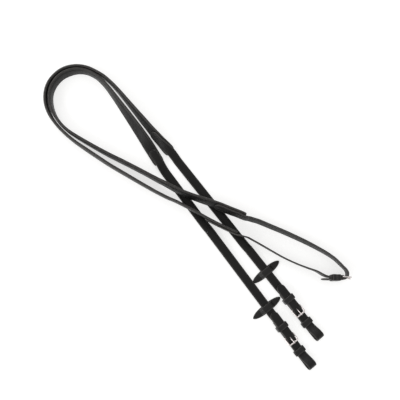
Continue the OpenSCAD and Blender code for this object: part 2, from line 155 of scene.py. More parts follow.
def half_height(lean, width, thick):
    return abs(math.cos(lean)) * thick / 2 + abs(math.sin(lean)) * width / 2


def place_on(way, i, t, width, thick):
    """Middle of the strap, its width direction and its face direction."""
    four = [way[max(0, min(len(way) - 1, i + k))] for k in (-1, 0, 1, 2)]

    def plan(s):
        return [0.5 * (2 * b + (c - a) * s + (2 * a - 5 * b + 4 * c - d) * s * s
                       + (3 * b - a - 3 * c + d) * s ** 3)
                for a, b, c, d in (tuple(w[k] for w in four) for k in range(3))]

    x, y, lean = plan(t)
    ahead, behind = plan(min(1, t + 0.02)), plan(max(0, t - 0.02))
    run = math.atan2(ahead[1] - behind[1], ahead[0] - behind[0])
    lean = math.radians(lean)
    over = four[1][3] * (1 - eased(t)) + four[2][3] * eased(t)
    lift = four[1][4] * (1 - eased(t)) + four[2][4] * eased(t)
    on_grip = min(1, abs(lift))
    z = (over + (1 - on_grip) * half_height(lean, width, thick)
         + on_grip * half_height(lean, grip_w, grip_t))
    side = Vector((-math.sin(run), math.cos(run), 0))
    wide = math.cos(lean) * side + math.sin(lean) * Vector((0, 0, 1))
    face = -math.sin(lean) * side + math.cos(lean) * Vector((0, 0, 1))
    off = lift * (grip_t / 2 + strap_t / 2 + slide_gap)
    return Vector((x, y, z)) + off * face - lay_mid, wide, face


def walk(way, width, thick, spacing=1.4, near_tip=0.0, far_tip=0.0):
    """Even stations along a way: run so far, middle, width and face directions.
    Stations crowd together at a rounded tip."""
    fine = [place_on(way, i, k / 16, width, thick)
            for i in range(len(way) - 1) for k in range(16)]
    fine.append(place_on(way, len(way) - 2, 1, width, thick))
    run = [0.0]
    for a, b in zip(fine, fine[1:]):
        run.append(run[-1] + (b[0] - a[0]).length)
    total = run[-1]
    tip_steps = [math.radians(q) for q in (6, 14, 22, 31, 40, 50, 60, 70, 80)]
    marks = [near_tip * (1 - math.cos(q)) for q in tip_steps] if near_tip else [0.0]
    count = max(2, round((total - near_tip - far_tip) / spacing))
    first = near_tip if near_tip else spacing / 2
    last = total - (far_tip if far_tip else spacing / 2)
    marks += [first + (last - first) * k / count for k in range(count + 1)]
    marks += ([total - far_tip * (1 - math.cos(q)) for q in reversed(tip_steps)]
              if far_tip else [total])
    stations, j = [], 0
    for m in marks:
        while j < len(run) - 2 and run[j + 1] < m:
            j += 1
        t = min(1, max(0, (m - run[j]) / max(1e-9, run[j + 1] - run[j])))
        stations.append((m, *(p.lerp(q, t) for p, q in zip(fine[j], fine[j + 1]))))
    return stations, total


def strap_section(width, thick, crease=0.2, crown=0.05):
    """Outline of a strap with rubbed round edges: across, up, and how near the edge."""
    turn = min(0.46 * thick, width / 2 - 0.05)
    flat = width / 2 - turn
    line = min(1.3, 0.4 * flat)
    half = min(0.32, 0.3 * line)
    right = [(flat + turn * math.cos(math.radians(q)),
              thick / 2 * math.sin(math.radians(q)),
              0.45 + 0.55 * math.cos(math.radians(q))) for q in range(-90, 91, 18)]
    top = [(flat - line + half, thick / 2, 0.2), (flat - line, thick / 2 - crease, 0.0),
           (flat - line - half, thick / 2, 0.0),
           (0.5 * (flat - line), thick / 2 + crown * 0.7, 0.0),
           (0.0, thick / 2 + crown, 0.0)]
    upper = right[5:] + top
    ring = upper + [(-a, b, e) for a, b, e in reversed(upper[:-1])]
    ring += [(a, -b, e) for a, b, e in ((-a, b, e) for a, b, e in upper[1:])]
    ring += [(a, -b, e) for a, b, e in reversed(upper[1:-1])]
    return ring


def closed_skin(name, rings, wear_and_highlight, joined=False):
    """A closed mesh through rings of points, in mm; joined runs it back into its start.
    The third argument says how rubbed each point is and how strongly the painted edge highlight
    shows there, from 0 on a flat face to 1 on an edge."""
    n, m = len(rings[0]), len(rings)
    mesh = bpy.data.meshes.new(name)
    spans = m if joined else m - 1
    faces = [(j * n + k, j * n + (k + 1) % n,
              (j + 1) % m * n + (k + 1) % n, (j + 1) % m * n + k)
             for j in range(spans) for k in range(n)]
    if not joined:
        faces += [tuple(range(n - 1, -1, -1)), tuple(range((m - 1) * n, m * n))]
    mesh.from_pydata([tuple(p * mm) for ring in rings for p in ring], [], faces)
    # per-point mask for the rubbed edge colour and its painted highlight
    worn_and_highlit = mesh.attributes.new("worn_and_highlit", "FLOAT", "POINT")
    worn_and_highlit.data.foreach_set("value", [w for ring in wear_and_highlight for w in ring])
    tidy = bmesh.new()
    tidy.from_mesh(mesh)
    bmesh.ops.recalc_face_normals(tidy, faces=tidy.faces)
    tidy.to_mesh(mesh)
    tidy.free()
    mesh.shade_smooth()
    mesh.set_sharp_from_angle(angle=sharp_edge)
    piece = bpy.data.objects.new(name, mesh)
    scene.collection.objects.link(piece)
    return piece


def tip_share(run, radius):
    """How wide a rounded tip is at this run from its end, as a share."""
    if radius == 0 or run >= radius:
        return 1.0
    return max(0.08, math.sqrt(max(0.0, 1 - (1 - run / radius) ** 2)))


def make_strap(name, stations, total, width, thick, near_tip=0.0, far_tip=0.0,
               crease=0.2, seed=0.0):
    """A strap along its stations, its free ends rounded and a little thinned."""
    rings, wear_and_highlight = [], []
    for run, middle, wide, face in stations:
        share = min(tip_share(run, near_tip), tip_share(total - run, far_tip))
        thin = 1.0
        for left, tip in ((run, near_tip), (total - run, far_tip)):
            if tip and left < 5:
                thin = min(thin, 0.7 + 0.3 * eased(left / 5))
            if tip and left < 0.8:
                thin *= 0.55 + 0.45 * math.sqrt(max(0, 1 - (1 - left / 0.8) ** 2))
        section = strap_section(width * share, thick * thin, crease=crease * thin)
        ring = []
        for a, b, _ in section:
            uneven = 0.05 * noise.noise(Vector((run / 9 + seed, a / 6, 3.0 * (b > 0))))
            ring.append(middle + wide * (a + 0.4 * uneven * (abs(a) > width * 0.4))
                        + face * (b + uneven * (1 if b > 0 else -1)))
        rings.append(ring)
        wear_and_highlight.append([max(e, 0.9 * (share < 0.98) * (abs(b) < thick * 0.42) * e)
                     for _, b, e in section])
    return closed_skin(name, rings, wear_and_highlight)


def leather(name, dark, light, rub_and_highlight_colour, gloss, grain, grain_depth, shine):
    """Dyed leather: two blacks in slow patches, fine pores and crossing wrinkles,
    polish that comes and goes, and edges made smoother and painted paler, partly as rubbed wear and
    partly as a painted highlight."""
    made = bpy.data.materials.new(name)
    made.use_nodes = True
    tree = made.node_tree
    skin = tree.nodes["Principled BSDF"]
    add, link = tree.nodes.new, tree.links.new
    where = add("ShaderNodeTexCoord").outputs["Object"]

    patches = add("ShaderNodeTexNoise")
    patches.inputs["Scale"].default_value = 38
    patches.inputs["Detail"].default_value = 5
    link(where, patches.inputs["Vector"])
    dye = add("ShaderNodeMix")
    dye.data_type = "RGBA"
    dye.inputs[6].default_value = (*dark, 1)
    dye.inputs[7].default_value = (*light, 1)
    link(patches.outputs["Fac"], dye.inputs[0])

    # edges painted paler by the per-point edge mask: partly rubbed wear, partly a painted highlight
    # for the light the rounded edges catch; the same mask makes them smoother
    rub_and_highlight_mask = add("ShaderNodeAttribute")
    rub_and_highlight_mask.attribute_name = "worn_and_highlit"
    fret = add("ShaderNodeTexNoise")
    fret.inputs["Scale"].default_value = 420
    fret.inputs["Detail"].default_value = 4
    link(where, fret.inputs["Vector"])
    rub_and_highlight_share = add("ShaderNodeMath")
    rub_and_highlight_share.operation = "MULTIPLY"
    link(rub_and_highlight_mask.outputs["Fac"], rub_and_highlight_share.inputs[0])
    link(fret.outputs["Fac"], rub_and_highlight_share.inputs[1])
    edge_rub_and_highlight = add("ShaderNodeMix")
    edge_rub_and_highlight.data_type = "RGBA"
    link(rub_and_highlight_share.outputs[0], edge_rub_and_highlight.inputs[0])
    link(dye.outputs[2], edge_rub_and_highlight.inputs[6])
    edge_rub_and_highlight.inputs[7].default_value = (*rub_and_highlight_colour, 1)
    link(edge_rub_and_highlight.outputs[2], skin.inputs["Base Color"])

    polish = add("ShaderNodeTexNoise")
    polish.inputs["Scale"].default_value = 90
    polish.inputs["Detail"].default_value = 6
    link(where, polish.inputs["Vector"])
    rough = add("ShaderNodeMapRange")
    rough.inputs["To Min"].default_value = gloss - 0.07
    rough.inputs["To Max"].default_value = gloss + 0.09
    link(polish.outputs["Fac"], rough.inputs["Value"])
    smoother = add("ShaderNodeMath")
    smoother.operation = "MULTIPLY_ADD"
    link(rub_and_highlight_share.outputs[0], smoother.inputs[0])
    smoother.inputs[1].default_value = -0.14
    link(rough.outputs["Result"], smoother.inputs[2])
    link(smoother.outputs[0], skin.inputs["Roughness"])

    pores = add("ShaderNodeTexVoronoi")
    pores.feature = "DISTANCE_TO_EDGE"
    pores.inputs["Scale"].default_value = grain
    pores.inputs["Randomness"].default_value = 0.9
    link(where, pores.inputs["Vector"])
    pore_ramp = add("ShaderNodeMapRange")
    pore_ramp.inputs["From Max"].default_value = 0.16
    link(pores.outputs["Distance"], pore_ramp.inputs["Value"])
    fibres = add("ShaderNodeTexNoise")
    fibres.inputs["Scale"].default_value = grain * 0.3
    fibres.inputs["Detail"].default_value = 7
    fibres.inputs["Roughness"].default_value = 0.62
    link(where, fibres.inputs["Vector"])
    pore_bump = add("ShaderNodeBump")
    pore_bump.inputs["Strength"].default_value = 0.55
    pore_bump.inputs["Distance"].default_value = grain_depth
    link(pore_ramp.outputs["Result"], pore_bump.inputs["Height"])
    wrinkle_bump = add("ShaderNodeBump")
    wrinkle_bump.inputs["Strength"].default_value = 0.6
    wrinkle_bump.inputs["Distance"].default_value = grain_depth * 2.6
    link(fibres.outputs["Fac"], wrinkle_bump.inputs["Height"])
    link(pore_bump.outputs["Normal"], wrinkle_bump.inputs["Normal"])
    link(wrinkle_bump.outputs["Normal"], skin.inputs["Normal"])

    skin.inputs["Specular IOR Level"].default_value = shine
    skin.inputs["Specular Tint"].default_value = (0.33, 0.33, 0.33, 1)
    skin.inputs["Coat Weight"].default_value = 0.05
    skin.inputs["Coat Roughness"].default_value = 0.3
    return made


# the pale edge colour here is partly rubbed wear and partly a painted highlight
bridle_leather = leather(
    "black_bridle_leather", dark=(0.0056, 0.0054, 0.0053), light=(0.0112, 0.0108, 0.0105),
    rub_and_highlight_colour=(0.085, 0.080, 0.076), gloss=0.40, grain=900, grain_depth=0.00016, shine=0.5)

hand_straps = {}
for rein, way, far_tip in (("a", hand_way_a, tip_r), ("b", hand_way_b, 0.0)):
    stations, total = walk(way, strap_w, strap_t, near_tip=tip_r, far_tip=far_tip)
    strap = make_strap(f"hand_strap_{rein}_leather", stations, total, strap_w, strap_t,
                       near_tip=tip_r, far_tip=far_tip, seed=11.0 * (rein == "b"))
    strap.data.materials.append(bridle_leather)
    hand_straps[rein] = (stations, total)
    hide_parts(f"hand_strap_{rein}")
    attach(strap, "reins")

# ---------------------------------------------------------------------------
# Front straps: plain straps from each grip to its bit buckle, lying flat.
# Same black bridle leather, one rounded end sewn down on the grip and the
# other caught between the billet and the chape behind the buckle.
# ---------------------------------------------------------------------------
stop_t = 2.2
billet_t, thin_t, lay_gap = 2.2, 1.2, 0.1
z_lower = thin_t + slide_gap
z_strap = z_lower + billet_t + lay_gap + thin_t + lay_gap
z_stop_strap = stop_t + slide_gap
bit_heads = {"a": ((282, -26.5), math.radians(-1.2)), "b": ((252.5, 14.6), math.radians(0.6))}


def along(rein, x):
    """A point of the straight part of a front strap."""
    (hx, hy), turn = bit_heads[rein]
    return x, hy + (x - hx) * math.tan(turn)


front_ways = {
    "a": [(-121, -15, 12, 0, 1), (-106, -16.3, 4, 0, 1), (-94, -17.5, 0, 0, 1),
          (-84, -18.5, 0, 0, 0.4)] + [
          (*along("a", x), 0, over, 0) for x, over in (
              (-74, 0), (-60, 0), (0, 0), (38, 0), (52, z_stop_strap), (64, z_stop_strap),
              (180, z_stop_strap), (228, z_stop_strap), (246, z_strap), (258, z_strap),
              (278.6, z_strap))],
    "b": [(-146, 5.9, 63, 0, 1), (-135, 6.5, 55, 0, 1), (-124, 7.2, 46, 0, 1),
          (-110, 8.8, 28, 0, 1), (-98, 10.6, 10, 0, 1), (-87, 11.2, 0, 0, 0.4)] + [
          (*along("b", x), 0, over, 0) for x, over in (
              (-76, 0), (-60, 0), (0, 0), (60, 0), (108, 0), (122, z_stop_strap),
              (134, z_stop_strap), (198, z_stop_strap), (216, z_strap), (228, z_strap),
              (249.1, z_strap))]}
front_straps = {}
for rein, way in front_ways.items():
    stations, total = walk(way, strap_w, strap_t, near_tip=tip_r)
    strap = make_strap(f"front_strap_{rein}_leather", stations, total, strap_w, strap_t,
                       near_tip=tip_r, seed=23.0 + 9 * (rein == "b"))
    strap.data.materials.append(bridle_leather)
    front_straps[rein] = (stations, total)
    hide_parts(f"front_strap_{rein}")
    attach(strap, "reins")

# ---------------------------------------------------------------------------
# Hand grips: the long soft middle of each rein, where the hands hold.
# Thin supple leather folded round a rubber core 20 mm wide, closed by a row
# of sewing just inside both edges, so the faces swell a little between rows.
# ---------------------------------------------------------------------------
grip_ways = {
    "a": [
        (-94, -17.5, 0, 0, 0), (-106, -16.3, -4, 0, 0), (-121, -15, -12, 0, 0),
        (-140, -13.8, -30, 0, 0), (-157, -12.8, -44, 0, 0), (-175, -12, -56, 0, 0),
        (-196, -11, -66, 0, 0), (-216, -10.2, -75, 0, 0), (-236, -9.4, -82, 0, 0),
        (-256, -9.2, -87, 0, 0), (-274, -11, -89, 0, 0), (-288, -15.8, -88, 0, 0),
        (-299, -22.8, -84, 0, 0), (-307.6, -32.2, -76, 0, 0), (-313.6, -44.5, -69, 0, 0),
        (-316.4, -58, -65, 0, 0), (-315.4, -71.3, -63, 0, 0), (-311, -84, -63, 0, 0),
        (-304, -94.5, -65, 0, 0), (-294.6, -102.6, -67, 0, 0), (-282, -109.4, -70, 0, 0),
        (-266, -113.6, -74, 0, 0), (-248, -114.2, -79, 0, 0), (-232, -111.4, -83, 0, 0),
        (-218, -106.7, -85, 0, 0), (-202, -100.4, -87, 0, 0), (-186, -93.7, -88, 0, 0),
        (-170, -86.7, -90, 0, 0), (-156, -80.3, -91, 0, 0), (-141, -72.8, -92, 0, 0),
        (-125, -65, -92, 0, 0), (-108, -56.8, -92, 0, 0), (-91, -48.9, -92, 0, 0),
        (-74, -41.2, -94, 0, 0), (-58, -34.2, -97, 3.2, 0), (-32, -22, -102, 3.2, 0),
        (-6, -6, -107, 3.2, 0), (14, 7.8, -111, 3.2, 0), (30, 18.4, -114, 3.2, 0),
        (44, 26.6, -114, 3.2, 0), (57, 35, -112, 3.2, 0), (71, 44, -110, 0.6, 0)],
    "b": [
        (-98, 10.6, -10, 0, 0), (-110, 8.8, -28, 0, 0), (-124, 7.2, -46, 0, 0),
        (-140, 6.2, -59, 0, 0), (-157, 5.4, -68, 0, 0), (-175, 4.8, -75, 0, 0),
        (-195, 4.2, -82, 0, 0), (-216, 3.6, -88, 0, 0), (-237, 2.8, -92, 0, 0),
        (-257, 0.9, -95, 0, 0), (-275, -3, -95, 0, 0), (-290.2, -9.8, -92, 0, 0),
        (-302.4, -17.6, -87, 0, 0), (-312.8, -29, -80, 0, 0), (-319.6, -42.4, -73, 0, 0),
        (-322.8, -57, -68, 0, 0), (-321.8, -72.2, -66, 0, 0), (-317.4, -86.6, -65, 0, 0),
        (-309.6, -98.8, -67, 0, 0), (-299, -108.6, -69, 0, 0), (-285.6, -116, -71, 0, 0),
        (-269, -120.2, -74, 0, 0), (-250, -120.8, -78, 0, 0), (-230, -118.4, -81, 0, 0),
        (-210, -113.8, -83, 0, 0), (-194, -108.7, -85, 0, 0), (-177, -103, -86, 0, 0),
        (-160, -97.2, -86, 0, 0), (-144, -91.6, -86, 0, 0), (-128, -85.2, -86, 0, 0),
        (-112, -78.6, -86, 0, 0), (-94, -71.3, -85, 0, 0), (-76, -63.8, -85, 0, 0),
        (-58, -56, -84, 0, 0), (-40, -47.4, -84, 0, 0), (-20, -37.2, -83, 3.2, 0),
        (6, -25, -82, 3.2, 0), (24, -17, -81, 3.2, 0), (42, -8.6, -80, 3.2, 0),
        (60, 0.2, -80, 3.2, 0), (84, 12.8, -80, 3.2, 0)]}


def grip_section(width, thick, row_depth, swell):
    """Outline of a grip: full round edges, a sewn valley inside each, swollen between."""
    turn = thick * 0.5
    flat = width / 2 - turn
    edge = [(flat + turn * math.cos(math.radians(q)), thick / 2 * 0.97 * math.sin(math.radians(q)),
             0.35 + 0.45 * math.cos(math.radians(q))) for q in range(0, 91, 18)]
    low = thick / 2 * 0.97
    valley = [(flat - 0.5, low - row_depth * 0.8, 0.1), (flat - 0.95, low - row_depth, 0.0),
              (flat - 1.4, low - row_depth * 0.7, 0.0)]
    inner = flat - 1.4
    swollen = [(inner * s, low - row_depth * 0.7 + (swell + row_depth * 0.7)
                * (1 - s ** 2) ** 0.55, 0.0) for s in (0.93, 0.8, 0.6, 0.35, 0.0)]
    upper = edge + valley + swollen
    ring = upper + [(-a, b, e) for a, b, e in reversed(upper[:-1])]
    ring += [(-a, -b, e) for a, b, e in upper[1:]]
    ring += [(a, -b, e) for a, b, e in reversed(upper[1:-1])]
    return ring


# the pale edge colour here is partly rubbed wear and partly a painted highlight
grip_leather = leather(
    "soft_grip_leather", dark=(0.0056, 0.0055, 0.0054), light=(0.0122, 0.0118, 0.0115),
    rub_and_highlight_colour=(0.085, 0.080, 0.076), gloss=0.44, grain=700, grain_depth=0.0002, shine=0.5)
grips = {}
for rein, way in grip_ways.items():
    stations, total = walk(way, grip_w, grip_t, spacing=1.5)
    rings, wear_and_highlight = [], []
    for run, middle, wide, face in stations:
        end = min(run, total - run)
        shoulder = math.sqrt(max(0.0, 1 - (1 - min(end, 9.0) / 9.0) ** 2))
        # the padding swells once it is clear of the sewn-down strap ends
        clear = (eased(min(1, max(0.0, run - 50) / 25))
                 * eased(min(1, max(0.0, total - run - 56) / 25)))
        width = grip_w + 0.5 * clear - 3.6 * (1 - shoulder)
        thick = (grip_t + 0.45 * clear
                 - 1.3 * (1 - math.sqrt(max(0.0, 1 - (1 - min(end, 3.0) / 3.0) ** 2))))
        section = grip_section(width, thick, 0.26 + 0.1 * clear, 0.08 + 0.42 * clear)
        ring = []
        for a, b, _ in section:
            soft = (0.16 * noise.noise(Vector((run / 14 + 5 * (rein == "b"), a / 9, 2.0 * (b > 0))))
                    + 0.07 * noise.noise(Vector((run / 4.2, a / 4, 7.0 + 2.0 * (b > 0)))))
            ring.append(middle + wide * (a * (1 + 0.006 * math.sin(run / 5.3) * (1 - end / 400)))
                        + face * (b + soft * 0.55 * (1 if b > 0 else -1) * (abs(b) > 0.3)))
        rings.append(ring)
        wear_and_highlight.append([e for _, _, e in section])
    grip = closed_skin(f"grip_{rein}", rings, wear_and_highlight)
    grip.data.materials.append(grip_leather)
    grips[rein] = (stations, total)
    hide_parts(f"grip_sleeve_{rein}", f"grip_core_{rein}")
    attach(grip, "reins")

# ---------------------------------------------------------------------------
# Sewing: the rows that close the grips and hold the strap ends down on them.
# Waxed black linen thread, lock-stitched in slanted stitches 3 mm apart that
# sit half sunk in the leather.
# ---------------------------------------------------------------------------
thread = bpy.data.materials.new("waxed_black_thread")
thread.use_nodes = True
thread_skin = thread.node_tree.nodes["Principled BSDF"]
thread_twist = thread.node_tree.nodes.new("ShaderNodeTexWave")
thread_twist.inputs["Scale"].default_value = 900
thread_twist.inputs["Distortion"].default_value = 1.5
thread_where = thread.node_tree.nodes.new("ShaderNodeTexCoord")
thread.node_tree.links.new(thread_where.outputs["Object"], thread_twist.inputs["Vector"])
thread_bump = thread.node_tree.nodes.new("ShaderNodeBump")
thread_bump.inputs["Distance"].default_value = 0.00006
thread.node_tree.links.new(thread_twist.outputs["Fac"], thread_bump.inputs["Height"])
thread.node_tree.links.new(thread_bump.outputs["Normal"], thread_skin.inputs["Normal"])
thread_dye = thread.node_tree.nodes.new("ShaderNodeMix")
thread_dye.data_type = "RGBA"
thread_dye.inputs[6].default_value = (0.010, 0.010, 0.010, 1)
thread_dye.inputs[7].default_value = (0.030, 0.029, 0.028, 1)
thread.node_tree.links.new(thread_twist.outputs["Fac"], thread_dye.inputs[0])
thread.node_tree.links.new(thread_dye.outputs[2], thread_skin.inputs["Base Color"])
thread_skin.inputs["Roughness"].default_value = 0.55


def sew(name, rows, body, pitch=3.0, slant=0.16):
    """Rows of slanted stitches. A row is a list of (point, out) along the leather, in mm."""
    rings_of_stitch = ((-1.0, 0.25), (-0.72, 0.8), (-0.25, 1.0),
                       (0.25, 1.0), (0.72, 0.8), (1.0, 0.25))
    half_len, half_wide, half_high, dip = pitch * 0.38, 0.29, 0.23, 0.06
    verts, faces = [], []
    for row in rows:
        run = [0.0]
        for a, b in zip(row, row[1:]):
            run.append(run[-1] + (b[0] - a[0]).length)
        j, at = 0, pitch * 0.5
        while at < run[-1]:
            while run[j + 1] < at:
                j += 1
            t = (at - run[j]) / max(1e-9, run[j + 1] - run[j])
            point = row[j][0].lerp(row[j + 1][0], t)
            out = row[j][1].lerp(row[j + 1][1], t).normalized()
            ahead = (row[j + 1][0] - row[j][0]).normalized()
            side = out.cross(ahead).normalized()
            line = (ahead + side * slant).normalized()
            side = out.cross(line).normalized()
            base = len(verts)
            for s, fat in rings_of_stitch:
                for q in range(6):
                    w = math.tau * q / 6
                    verts.append(tuple((point + line * s * half_len
                                        + side * math.cos(w) * half_wide * fat
                                        + out * (math.sin(w) * half_high * fat
                                                 - dip * s * s)) * mm))
            for r in range(5):
                faces += [(base + r * 6 + q, base + r * 6 + (q + 1) % 6,
                           base + (r + 1) * 6 + (q + 1) % 6, base + (r + 1) * 6 + q)
                          for q in range(6)]
            faces += [tuple(base + q for q in range(5, -1, -1)),
                      tuple(base + 30 + q for q in range(6))]
            at += pitch
    mesh = bpy.data.meshes.new(name)
    mesh.from_pydata(verts, [], faces)
    mesh.shade_smooth()
    mesh.materials.append(thread)
    piece = bpy.data.objects.new(name, mesh)
    scene.collection.objects.link(piece)
    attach(piece, body)
    return piece


for rein, (stations, total) in grips.items():
    inner = [s for s in stations if 10 < s[0] < total - 10]
    in_row = grip_w / 2 - grip_t * 0.5 - 0.95
    low = grip_t / 2 * 0.97 - 0.14
    sew(f"grip_sewing_{rein}",
        [[(m + w * in_row * e + f * low * s, f * s) for _, m, w, f in inner]
         for e in (-1, 1) for s in (-1, 1)], "reins", pitch=3.6)


def tab_rows(stations, length, face_side):
    """Three sides of a tab's sewing: up one edge, round the tip, down the other."""
    inset = 2.1
    edge = {-1: [], 1: []}
    for run, m, w, f in stations:
        if not inset <= run < length:
            continue
        share = math.sqrt(max(0, 1 - (1 - min(1, (run - inset) / 6.2)) ** 2))
        half = (strap_w / 2 - inset) * share
        thin = 0.7 + 0.3 * eased(min(1, run / 5))
        for side in (-1, 1):
            edge[side].append((m + w * half * side + f * (strap_t / 2 * thin + 0.06) * face_side,
                               f * face_side))
    return [edge[-1][::-1] + edge[1]]


for rein, front_lap in (("a", 30.0), ("b", 48.0)):
    sew(f"front_tab_sewing_{rein}", tab_rows(front_straps[rein][0], front_lap, 1), "reins")
    sew(f"hand_tab_sewing_{rein}", tab_rows(hand_straps[rein][0], 52.0, -1), "reins")

# ---------------------------------------------------------------------------
# Rein stops: the leaf-shaped leathers that keep a martingale ring off the
# buckle. Stiff black leather, a flat leaf under the rein with a creased rim,
# and a band pulled up over the rein that lets it slide.
# ---------------------------------------------------------------------------
stop_w, stop_len = 62.5, 15.0
stop_places = {"a": -61.0, "b": -81.0}
keeper_w = strap_w + 5.5


def bit_end(rein):
    """The frame of a bit buckle: x to the bit, y across, z up, from the heel bar."""
    (hx, hy), turn = bit_heads[rein]
    return (Matrix.Translation(Vector((hx, hy, 0)) - lay_mid)
            @ Matrix.Rotation(turn, 4, "Z"))


def joined(name, *pieces):
    """Several meshes made into one object."""
    whole = bmesh.new()
    for piece in pieces:
        whole.from_mesh(piece.data)
    mesh = bpy.data.meshes.new(name)
    whole.to_mesh(mesh)
    whole.free()
    for piece in pieces:
        bpy.data.objects.remove(piece)
    mesh.shade_smooth()
    mesh.set_sharp_from_angle(angle=sharp_edge)
    piece = bpy.data.objects.new(name, mesh)
    scene.collection.objects.link(piece)
    return piece


def leaf_half(k):
    return stop_len / 2 * max(0.0, 1 - abs(k) ** 2.6) ** 0.6


# the pale edge colour here is partly rubbed wear and partly a painted highlight
stop_leather = leather(
    "stiff_stop_leather", dark=(0.0070, 0.0068, 0.0066), light=(0.0145, 0.0140, 0.0135),
    rub_and_highlight_colour=(0.095, 0.090, 0.086), gloss=0.37, grain=900, grain_depth=0.00016, shine=0.7)
for rein in ("a", "b"):
    here = bit_end(rein) @ Matrix.Translation((stop_places[rein], 0, 0))
    rings, wear_and_highlight = [], []
    for step in range(-44, 45):
        k = math.sin(math.radians(90) * step / 44) * 0.9985
        half = max(0.25, leaf_half(k))
        y = k * stop_w / 2
        edge = min(0.95, half * 0.6)
        flat = half - edge
        line = min(1.7, flat * 0.5)
        top = stop_t - 0.02
        end_drop = 1 - 0.35 * eased(max(0.0, (abs(k) - 0.93) / 0.07))
        upper = [(flat + edge * math.cos(math.radians(q)),
                  top / 2 + top / 2 * math.sin(math.radians(q)),
                  0.4 + 0.6 * math.cos(math.radians(q))) for q in range(0, 91, 15)]
        upper += [(flat - line + 0.4, top, 0.2), (flat - line, top - 0.32, 0.0),
                  (flat - line - 0.4, top, 0.0), ((flat - line) * 0.55, top + 0.10, 0.0),
                  (0.0, top + 0.14, 0.0)]
        loop = [(x, z * end_drop, e) for x, z, e in upper]
        loop += [(-x, z, e) for x, z, e in reversed(loop[:-1])]
        under = [(-x, max(0.0, (top - z) * 0.5), e * 0.6) for x, z, e in upper[1:7]]
        loop += under + [(0.0, 0.02, 0.0)] + [(-x, z, e) for x, z, e in reversed(under)]
        rings.append([here @ Vector((x, y, z)) for x, z, _ in loop])
        wear_and_highlight.append([e for _, _, e in loop])
    leaf = closed_skin("leaf", rings, wear_and_highlight)
    # the band: a flat strip carried up over the rein, its feet sewn into the leaf
    band_w = stop_len - 2.6
    crest = z_stop_strap + strap_t + slide_gap + 0.75
    climb = [(-13.6, 1.55), (-12.6, 2.15), (-11.5, 3.0), (-10.5, 4.2), (-9.7, 5.3),
             (-8.8, crest - 0.35), (-7.6, crest), (-5.6, crest + 0.1), (-3.0, crest + 0.16),
             (0.0, crest + 0.18)]
    climb += [(-y, z) for y, z in reversed(climb[:-1])]
    rings, wear_and_highlight = [], []
    for i, (y, z) in enumerate(climb):
        before, after = climb[max(0, i - 1)], climb[min(len(climb) - 1, i + 1)]
        ahead = Vector((0, after[0] - before[0], after[1] - before[1])).normalized()
        up = Vector((0, -ahead.z, ahead.y))
        narrow = 1 - 0.07 * min(1, abs(y) / 9) ** 3
        section = strap_section(band_w * narrow, 1.45, crease=0.16, crown=0.12)
        rings.append([here @ (Vector((0, y, z)) + Vector((a, 0, 0)) + up * b)
                      for a, b, _ in section])
        wear_and_highlight.append([e for _, _, e in section])
    band = closed_skin("band", rings, wear_and_highlight)
    stop = joined(f"rein_stop_{rein}_leather", leaf, band)
    stop.data.materials.append(stop_leather)
    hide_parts(f"rein_stop_{rein}")
    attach(stop, f"stop_{rein}")

# ---------------------------------------------------------------------------
# Billets: one strip each, folded round the bit ring and back through buckle.
# Black bridle leather 2.2 mm thick, its tip cut round, an oblong hole punched
# for the tongue, the lower layer sewn under the rein.
# ---------------------------------------------------------------------------
frame_len, chape_len, billet_tip = 15.0, 34.0, 50.0
loop_r = 5.5
loop_x = 69.5 - billet_t - loop_r
loop_z = z_lower + billet_t + loop_r
z_heel = z_strap + strap_t / 2
leg_in = 1.5
z_upper = z_heel + leg_in + thin_t + lay_gap
z_run = z_lower + billet_t + 0.2
eye_x = 39.5


def rising(x0, z0, x1, z1, n):
    return [(x0 + (x1 - x0) * k / n, z0 + (z1 - z0) * eased(k / n)) for k in range(n + 1)]


def side_path_strap(name, path, width, thick, here, far_tip=0.0, crease=0.2):
    """A strap whose length follows a side-view path of (x, z) middles."""
    run = [0.0]
    for a, b in zip(path, path[1:]):
        run.append(run[-1] + math.dist(a, b))
    total = run[-1]
    stations = []
    for i, (x, z) in enumerate(path):
        before, after = path[max(0, i - 1)], path[min(len(path) - 1, i + 1)]
        ahead = Vector((after[0] - before[0], 0, after[1] - before[1])).normalized()
        stations.append((run[i], here @ Vector((x, 0, z)),
                         here.to_3x3() @ Vector((0, 1, 0)),
                         here.to_3x3() @ Vector((-ahead.z, 0, ahead.x))))
    return make_strap(name, stations, total, width, thick, far_tip=far_tip,
                      crease=crease, seed=3.1 * total)


def cut_away(piece, corners, low, high, here):
    """A hole with this outline, from low to high, cut through the piece."""
    verts = [tuple((here @ Vector((x, y, z))) * mm) for z in (low, high) for x, y in corners]
    n = len(corners)
    mesh = bpy.data.meshes.new("punch")
    mesh.from_pydata(verts, [], [tuple(range(n - 1, -1, -1)), tuple(range(n, 2 * n))]
                     + [(k, (k + 1) % n, n + (k + 1) % n, n + k) for k in range(n)])
    punch = bpy.data.objects.new("punch", mesh)
    scene.collection.objects.link(punch)
    mod = piece.modifiers.new("punched", "BOOLEAN")
    mod.operation, mod.solver, mod.object = "DIFFERENCE", "EXACT", punch
    bpy.context.view_layer.update()
    done = bpy.data.meshes.new_from_object(
        piece.evaluated_get(bpy.context.evaluated_depsgraph_get()))
    piece.modifiers.clear()
    piece.data = done
    bpy.data.objects.remove(punch)
    done.shade_smooth()
    done.set_sharp_from_angle(angle=sharp_edge)


def oblong(x0, x1, half):
    """Outline of a long hole with round ends."""
    left = [(x0 + half + half * math.cos(math.radians(q)), half * math.sin(math.radians(q)))
            for q in range(90, 271, 20)]
    right = [(x1 - half + half * math.cos(math.radians(q)), half * math.sin(math.radians(q)))
             for q in range(-90, 91, 20)]
    return left + right


